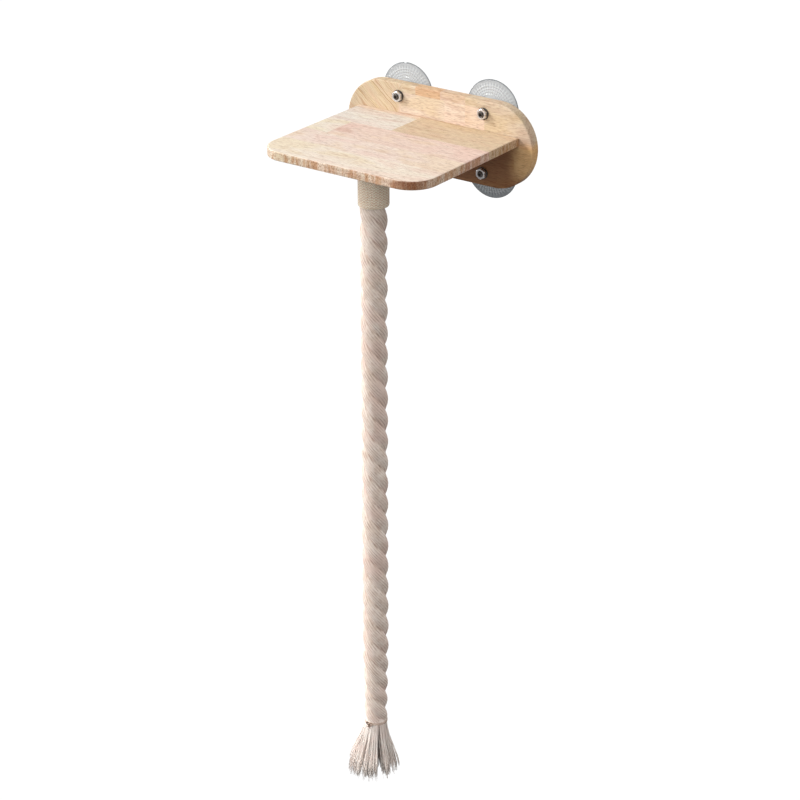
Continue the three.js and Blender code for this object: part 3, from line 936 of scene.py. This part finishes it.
# %% [markdown]
# A nut is a hexagon cut by two turned shapes: one rounds its corners off and one is its threaded
# bore. Each stud has a hexagon socket in its end, which is the dark middle that the photo shows.
# Bmesh has no operator for such cuts, so the Boolean modifier makes them.

# %% Hexagons and cuts
def cut(body, cutter, operation):
    """Boolean of two bmeshes, as a new bmesh."""
    objects = []
    for bm in (body, cutter):
        mesh = bpy.data.meshes.new("cut")
        bm.to_mesh(mesh)
        bm.free()
        objects.append(bpy.data.objects.new("cut", mesh))
        bpy.context.scene.collection.objects.link(objects[-1])
    modifier = objects[0].modifiers.new("cut", "BOOLEAN")
    modifier.operation = operation
    modifier.object = objects[1]
    modifier.solver = "EXACT"
    result = bmesh.new()
    result.from_object(objects[0], bpy.context.evaluated_depsgraph_get())
    for made in objects:
        bpy.data.meshes.remove(made.data)
    return result


def hexagon(radius, low, high, centre):
    """A six-sided bar along -Y, from low to high in front of the wall."""
    bm = bmesh.new()
    place = Matrix.Translation((centre[0], -(low + high) / 2, centre[2])) @ Matrix.Rotation(turn / 4, 4, "X")
    bmesh.ops.create_cone(
        bm, cap_ends=True, segments=6, radius1=radius, radius2=radius, depth=high - low, matrix=place)
    return bm


def front_box(node_name):
    """Centre on the wall, radius, and how far in front of the wall a round node starts and ends."""
    low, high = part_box(node_name)
    centre = ((low.x + high.x) / 2, 0, (low.z + high.z) / 2)
    return centre, (high.x - low.x) / 2, -high.y, -low.y


# %% Washers
def washer(corner):
    centre, radius, low, high = front_box(f"washer_{corner}")
    bore, edge = 4.3 * mm, 0.25 * mm
    profile = [
        (bore, low), (radius - edge, low), (radius, low + edge), (radius, high - edge),
        (radius - edge, high), (bore, high), (bore, low),
    ]
    disc = spun(profile, centre, out_of_wall, fine_steps)
    return object_of(f"round_washer_{corner}", disc, painted_dark_washer_steel, steel_sharp_angle)


# %% Nuts
nut_crown_share = 0.96
nut_corner_drop = 0.75 * mm
nut_bore, nut_mouth = 4.12 * mm, 4.75 * mm
nut_mouth_depth, nut_thread_margin = 0.5 * mm, 0.6 * mm


def nut(corner):
    centre, half_flats, low, high = front_box(f"hex_nut_{corner}")
    corner_radius = half_flats / math.cos(turn / 12)
    crown = half_flats * nut_crown_share
    rounding = [
        (0, low), (crown, low), (corner_radius, low + nut_corner_drop),
        (corner_radius, high - nut_corner_drop), (crown, high), (0, high),
    ]
    bar = hexagon(corner_radius, low - overrun, high + overrun, centre)
    body = cut(bar, spun(rounding, centre, out_of_wall, fine_steps), "INTERSECT")
    mouth = nut_mouth + overrun
    grooves = thread(nut_bore, low + nut_thread_margin, high - nut_thread_margin)
    hole = [
        (0, low - overrun), (mouth, low - overrun), (nut_bore, low + nut_mouth_depth),
        *[(2 * nut_bore - radius, height) for radius, height in grooves],
        (nut_bore, high - nut_mouth_depth), (mouth, high + overrun), (0, high + overrun),
    ]
    body = cut(body, spun(hole, centre, out_of_wall, fine_steps), "DIFFERENCE")
    return object_of(f"plated_nut_{corner}", body, steel, steel_sharp_angle)


# %% Studs
stud_shank, stud_head = 3.95 * mm, 1.5 * mm
stud_back_edge, stud_front_edge, stud_fillet = 0.3 * mm, 0.2 * mm, 0.4 * mm
stud_thread_from, stud_thread_margin = 4 * mm, 0.9 * mm
stud_tip_height, stud_tip_edge = 0.6 * mm, 1.0 * mm
socket_radius, socket_depth = 2.3 * mm, 2.6 * mm


def stud(corner):
    centre, radius, low, high = front_box(f"cup_stud_{corner}")
    neck = low + stud_head
    profile = [
        (0, low), (radius - stud_back_edge, low), (radius, low + stud_back_edge),
        (radius, neck - stud_front_edge), (radius - stud_front_edge, neck),
        (stud_shank + stud_fillet, neck), (stud_shank, neck + stud_fillet),
        (stud_shank, low + stud_thread_from),
        *thread(stud_shank, low + stud_thread_from, high - stud_thread_margin),
        (stud_shank - thread_depth, high - stud_tip_height), (stud_shank - stud_tip_edge, high), (0, high),
    ]
    body = spun(profile, centre, out_of_wall, fine_steps)
    socket = hexagon(socket_radius, high - socket_depth, high + overrun, centre)
    body = cut(body, socket, "DIFFERENCE")
    return object_of(f"threaded_stud_{corner}", body, painted_dark_stud_steel, steel_sharp_angle)


corners = ["upper_left", "upper_right", "lower_left", "lower_right"]
for corner in corners:
    dress(washer(corner), "shelf", "steel", f"washer_{corner}")
    dress(nut(corner), "shelf", "steel", f"hex_nut_{corner}")
    dress(stud(corner), "shelf", "steel", f"cup_stud_{corner}")

# %% [markdown]
# Three countersunk wood screws come through the board from behind and hold the plate. Nobody
# sees them from the front, so they are the plainest turned shape that still has its thread, a
# cone under the head, a point and a socket.

# %% Screws from behind
screw_shank, screw_cone = 1.95 * mm, 2.6 * mm
screw_rim, screw_rim_edge = 0.4 * mm, 0.15 * mm
screw_thread_from, screw_tip, screw_tip_step = 12 * mm, 5 * mm, 4.8 * mm
screw_point_radius, screw_point = 0.15 * mm, 0.1 * mm
screw_socket_radius, screw_socket_depth = 1.5 * mm, 1.4 * mm


def shelf_screw(where):
    centre, radius, low, high = front_box(f"shelf_screw_{where}")
    profile = [
        (0, low), (radius - screw_rim_edge, low), (radius, low + screw_rim_edge), (radius, low + screw_rim),
        (screw_shank, low + screw_cone), (screw_shank, low + screw_thread_from),
        *thread(screw_shank, low + screw_thread_from, high - screw_tip),
        (screw_shank - thread_depth, high - screw_tip_step),
        (screw_point_radius, high - screw_point), (0, high),
    ]
    body = spun(profile, centre, out_of_wall, fine_steps)
    socket = hexagon(screw_socket_radius, low - overrun, low + screw_socket_depth, centre)
    body = cut(body, socket, "DIFFERENCE")
    return object_of(f"countersunk_screw_{where}", body, steel, steel_sharp_angle)


for where in ("left", "centre", "right"):
    dress(shelf_screw(where), "shelf", "steel", f"shelf_screw_{where}")

# %% [markdown]
# Under the plate hang a screw eye, a ring and the rope's own screw eye. Bent wire is one round
# section along a line, so each eye is a wire that comes down its shank, turns once round the eye
# and stops just short of itself, as a real one does. A small flange sits where it meets the wood.

# %% Hanger
eye_wire = 1.5 * mm
eye_wire_rounding = 4
eye_tip_share, eye_tip = 0.2, 1.5 * mm
eye_loop_steps, eye_loop_share = 48, 0.955
flange_sink = 0.5 * mm
flange_radius, flange_height = 4.35 * mm, 1.15 * mm
flange_edge, flange_low_rim, flange_high_rim = 0.35 * mm, 0.3 * mm, 0.9 * mm


def flange(place, upside):
    profile = [
        (0, 0), (flange_radius - flange_edge, 0), (flange_radius, flange_low_rim),
        (flange_radius, flange_high_rim), (flange_radius - flange_edge, flange_height), (0, flange_height),
    ]
    disc = spun(profile, place, (0, 0, upside), fine_steps)
    mesh = bpy.data.meshes.new("flange")
    disc.to_mesh(mesh)
    disc.free()
    return mesh


def screw_eye(name, node_name, upside):
    """upside is 1 where the shank points up, and -1 where it points down."""
    low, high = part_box(node_name)
    middle = (low + high) / 2
    reach = (high.x - low.x) / 2 - eye_wire
    loop_end, tip = (low.z, high.z) if upside > 0 else (high.z, low.z)
    loop_z = loop_end + upside * (reach + eye_wire)
    line = [((middle.x, middle.y, tip), eye_tip_share), ((middle.x, middle.y, tip - upside * eye_tip), 1)]
    for i in range(eye_loop_steps + 1):
        angle = turn / 4 + turn * eye_loop_share * i / eye_loop_steps
        x, z = middle.x + reach * math.cos(angle), loop_z + upside * reach * math.sin(angle)
        line.append(((x, middle.y, z), 1))
    bm = wires([line], eye_wire, eye_wire_rounding)
    flange_z = loop_z + upside * (reach + eye_wire - flange_sink)
    disc = flange((middle.x, middle.y, flange_z), upside)
    bm.from_mesh(disc)
    bpy.data.meshes.remove(disc)
    return object_of(name, bm, steel, steel_sharp_angle)


# %% Ring
ring_wire_steps, ring_steps = 16, 64


def ring():
    low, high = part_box("hanger_ring")
    middle = (low + high) / 2
    wire = (high.x - low.x) / 2
    reach = (high.y - low.y) / 2 - wire
    bm = bmesh.new()
    place = Matrix.Translation((middle.x, middle.y, middle.z + reach)) @ Matrix.Rotation(turn / 4, 4, "X")
    bmesh.ops.create_circle(bm, segments=ring_wire_steps, radius=wire, matrix=place)
    bmesh.ops.spin(
        bm, geom=bm.verts[:] + bm.edges[:], cent=middle, axis=(1, 0, 0), angle=turn,
        steps=ring_steps, use_merge=True)
    return object_of("plated_ring", tidy(bm), steel)


dress(screw_eye("plate_screw_eye", "hanger_eye", 1), "shelf", "steel", "hanger_eye")
dress(ring(), "ring", "steel", "hanger_ring")
dress(screw_eye("rope_screw_eye", "plug_eye", -1), "rope", "steel", "plug_eye")

# %% [markdown]
# The cups are clear soft plastic. The CAD model turns them in 36 sides with a few ridges. Here
# each is turned again in fine steps with a rounded lip and moulded rings, and the skirt's front
# gets fine radial ribs by pushing its points in and out in a wave.

# %% Cup sizes
cup_steps, skirt_steps = 144, 36
cup_sharp_angle = 40
# The moulded rings: place from the boss to the lip as a share, and height in millimetres
cup_rings = [(0.22, 0.5), (0.38, 0.5), (0.54, 0.5), (0.7, 0.45)]
cup_ring_width_share = 0.03
cup_boss, cup_boss_edge, cup_boss_corner = 14.4 * mm, 0.2 * mm, 0.8 * mm
skirt_foot, skirt_thickness, skirt_bow = 15.6 * mm, 4.8 * mm, 0.8
lip_thickness, lip_round_width, lip_width = 0.85 * mm, 1.6 * mm, 5.2 * mm
# The lip's rounding: how far in from the rim, and how far off the wall
lip_round = [
    (0.5 * mm, 0.72 * mm), (0.12 * mm, 0.5 * mm), (0, 0.25 * mm), (0.08 * mm, 0.06 * mm), (0.4 * mm, 0),
]
hollow_depth = 0.9 * mm
pocket_floor, pocket_roof, pocket_radius, pocket_edge = 2.0 * mm, 4.05 * mm, 10.25 * mm, 0.35 * mm
pocket_floor_edge, pocket_roof_edge = 0.3 * mm, 0.25 * mm
cup_bore, cup_bore_edge = 4.3 * mm, 0.2 * mm

# %% Cup profile
def skirt_profile(rim):
    points = []
    for i in range(skirt_steps + 1):
        share = i / skirt_steps
        radius = skirt_foot + (rim - lip_round_width - skirt_foot) * share
        height = skirt_thickness + (lip_thickness - skirt_thickness) * share ** skirt_bow
        height += sum(
            high * mm * math.exp(-(((share - at) / cup_ring_width_share) ** 2)) for at, high in cup_rings)
        points.append((radius, height))
    return points


def cup_profile(rim, front):
    """[radius, distance from the wall] from the pocket's floor round to the hollow's middle."""
    pocket = [
        (0, pocket_floor), (pocket_radius - pocket_edge, pocket_floor),
        (pocket_radius, pocket_floor + pocket_floor_edge), (pocket_radius, pocket_roof - pocket_roof_edge),
        (pocket_radius - pocket_edge, pocket_roof), (cup_bore, pocket_roof),
    ]
    boss = [
        (cup_bore, front - cup_bore_edge), (cup_bore + cup_bore_edge, front),
        (cup_boss - cup_boss_corner, front), (cup_boss - cup_boss_edge, front - cup_boss_edge),
        (cup_boss, front - cup_boss_corner),
    ]
    lip = [(rim - inwards, height) for inwards, height in lip_round]
    back = [(rim - lip_width, 0), (cup_boss, hollow_depth), (0, hollow_depth)]
    return pocket + boss + skirt_profile(rim) + lip + back


# %% [markdown]
# Clear plastic shows by its edges and by what lies behind it. A clear material alone would vanish
# before a white background, so the plastic is partly clear and partly a grey body. Each point
# keeps how clear it is, with painted light mixed in: its low side is darker, which is painted shade,
# so that a lower cup looks dark grey and an upper one light. Its rings and rib crests are lighter,
# which is painted highlight, and its rim is darker.

# %% Clear plastic
def clear_plastic(name):
    finish = Finish(name, {"Transmission Weight": 0.48, "IOR": 1.46, "Specular IOR Level": 0.6})
    place = finish.place()
    flow = finish.noise(place, scale=70, detail=2)
    haze = finish.noise(place, scale=260, detail=3)
    clearness = finish.node("ShaderNodeAttribute", {"attribute_name": "clearness"}, output="Fac")
    # The attribute carries the cups' painted shade and highlights along with how clear they are
    colour = finish.mix(rgb(118, 124, 128), rgb(240, 242, 243), clearness)
    return finish.use({
        "Roughness": 0.03 + finish.step(haze, 0.45, 0.8) * 0.06,
        "Base Color": finish.mix(colour, rgb(196, 200, 203), haze * 0.3),
        "Normal": finish.bump(flow, 0.5 * mm, 0.25),
    })


clear_pvc = clear_plastic("clear_soft_plastic")

# %% Suction cups
rib_count = 48
rib_depth = 0.22 * mm
ribs_from, ribs_to, rib_fade = 17 * mm, 3 * mm, 3 * mm
rib_height_from = 1.2 * mm
edge_width, edge_fade = 1.3 * mm, 0.5 * mm
light_ring_width_share = 0.035
# How clear the body is, how much painted highlight the rings and ribs get, and how much painted shade the low
# side gets
body_clearness, ring_painted_highlight, rib_painted_highlight, painted_low_side_shade = 0.72, 0.28, 0.3, 0.85


def clearness_and_painted_light_at(radius, rim, down, rib, ribbed):
    """From 0, grey, to 1, clear, with painted shade on the low side and painted highlights on the rings and
    ribs. down is how far below the cup's middle, as a share of its radius.
    """
    share = (radius - skirt_foot) / (rim - skirt_foot - lip_round_width)
    on_ring = sum(math.exp(-((share - at) / light_ring_width_share) ** 2) for at, _ in cup_rings)
    # Painted shade: the low side of every cup is darker
    painted_low_shade = clamped(down * 2 - 0.4)
    clear = body_clearness * (1 - painted_low_side_shade * painted_low_shade)
    # Painted highlights: the moulded rings and the rib crests are lighter, the rib troughs darker
    clear += ring_painted_highlight * on_ring * ribbed + rib_painted_highlight * rib
    return clamped(clear) * (1 - clamped((radius - rim + edge_width) / edge_fade))


def suction_cup(corner):
    centre, rim, _, front = front_box(f"suction_cup_{corner}")
    bm = spun(cup_profile(rim, front), centre, out_of_wall, cup_steps)
    clearness = bm.verts.layers.float.new("clearness")
    for vert in bm.verts:
        dx, dz = vert.co.x - centre[0], vert.co.z - centre[2]
        radius = math.hypot(dx, dz)
        ribbed = clamped((radius - ribs_from) / rib_fade) * clamped((rim - ribs_to - radius) / rib_fade)
        rib = ribbed * math.cos(rib_count * math.atan2(dz, dx))
        if vert.co.y < -rib_height_from:
            vert.co.y -= rib_depth * rib
        vert[clearness] = clearness_and_painted_light_at(radius, rim, -dz / rim, rib, ribbed)
    made = object_of(f"cup_{corner}", bm, clear_pvc, cup_sharp_angle)
    return dress(made, "shelf", "clear_pvc", f"suction_cup_{corner}")


for corner in corners:
    suction_cup(corner)

# %% [markdown]
# The object hangs over a plain pale floor with no wall behind it, so it can be looked at from
# behind. The floor glows to the camera's eye and through clear plastic, so it looks as white as
# the backdrop. To the lamps and the wood it is dark, and polished metal sees it dim, so the
# underside of the shelf stays in the shade.

# %% Floor
floor_drop, floor_reach = 250 * mm, 60
floor_tint = (0.12, 0.12, 0.12, 1)
floor_glow = 0.9
gloss_share = 0.3


def pale_floor():
    bm = bmesh.new()
    place = Matrix.Translation((0, 0, cad_box[0][2] - floor_drop))
    bmesh.ops.create_grid(bm, x_segments=8, y_segments=8, size=floor_reach, matrix=place)
    finish = Finish("pale_floor", {"Base Color": floor_tint, "Roughness": 0.9, "Specular IOR Level": 0.0})
    rays = finish.node("ShaderNodeLightPath").socket.node
    seen = Link(finish, rays.outputs["Is Camera Ray"]) + Link(finish, rays.outputs["Is Transmission Ray"])
    seen = seen + Link(finish, rays.outputs["Is Glossy Ray"]) * gloss_share
    finish.shader.inputs["Emission Strength"].default_value = 1
    finish.use({"Emission Color": seen.maths("MINIMUM", 1) * floor_glow})
    floor = object_of("pale_floor", bm, finish.material)
    print("floor at", round(place.translation.z, 3))


pale_floor()

# %% [markdown]
# The world fills in. It is brighter from the sides than from the front, which rounds the rope,
# and it is dim near the horizon, so the board under the plate stays dark. The camera sees it
# white, and polished metal sees it white on the lamp's side and dim on the other, as in a studio.

# %% World
lamp_direction = Vector((-0.78, -0.52, 0.62)).normalized()
left_of_view = (-math.cos(camera_azimuth), -math.sin(camera_azimuth), 0)
front_level, left_gain, right_gain = 0.5, 3.5, 1.25
raised_level, zenith_level = 0.98, 0.42
low_share = 0.15
studio_dark_share = 0.05
world = bpy.data.worlds.new("pale_studio")
bpy.context.scene.world = world
world.use_nodes = True
studio = Graph(world.node_tree)
background = world.node_tree.nodes["Background"]
background.inputs["Color"].default_value = (1, 1, 1, 1)
rays = studio.node("ShaderNodeLightPath").socket.node
ray_names = ("Is Camera Ray", "Is Glossy Ray", "Is Transmission Ray")
camera_ray, glossy_ray, clear_ray = [Link(studio, rays.outputs[name]) for name in ray_names]
heading = studio.node("ShaderNodeTexCoord", output="Generated")
upward = studio.parts(heading)[2]


def towards(direction):
    """How far the sky point lies towards a direction, from -1 to 1."""
    inputs = {0: heading, 1: direction}
    return studio.node("ShaderNodeVectorMath", {"operation": "DOT_PRODUCT"}, inputs, "Value")


# %% Light in each direction
def side_light():
    leftward = towards(left_of_view)
    left_light = studio.step(leftward, -0.2, 0.95) * left_gain
    right_light = studio.step(0 - leftward, 0.0, 0.95) * right_gain
    above_ground = studio.step(upward, 0.08, 0.22) * (1 - low_share) + low_share
    return (left_light + right_light + front_level) * above_ground


horizon_level = side_light()
fill_level = horizon_level + studio.step(upward, 0.25, 0.55) * (raised_level - horizon_level)
fill_level = fill_level + studio.step(upward, 0.5, 0.95) * (zenith_level - raised_level)
lamp_side = studio.step(towards(lamp_direction), -0.3, 0.8)
gloss_level = lamp_side * (1 - studio_dark_share) + studio_dark_share
plain = (camera_ray + clear_ray).maths("MINIMUM", 1)
level = plain + (1 - plain) * (glossy_ray * gloss_level + (1 - glossy_ray) * fill_level)
studio.feed(background.inputs["Strength"], level)
print("world nodes", len(world.node_tree.nodes))

# %% [markdown]
# A broad lamp high at the front left gives the bright left sides and the shade under the plate.
# A weak one, low on the left, reaches under the plate. It keeps the left sides of the collar and
# of the rope's head light.

# %% Lamps
def broad_lamp(name, direction, energy, spread):
    lamp = bpy.data.objects.new(name, bpy.data.lights.new(name, "SUN"))
    lamp.data.energy = energy
    lamp.data.angle = math.radians(spread)
    lamp.rotation_euler = direction.to_track_quat("Z", "Y").to_euler()
    bpy.context.scene.collection.objects.link(lamp)
    print(name, "energy", energy)


broad_lamp("broad_lamp", lamp_direction, energy=1.85, spread=14)
broad_lamp("low_side_lamp", Vector((-1, 0, 0.09)), energy=0.5, spread=8)

# %% [markdown]
# Last comes the plain view transform, so that a colour is shown as it was chosen.

# %% Plain colours and the end
bpy.context.scene.view_settings.view_transform = "Standard"
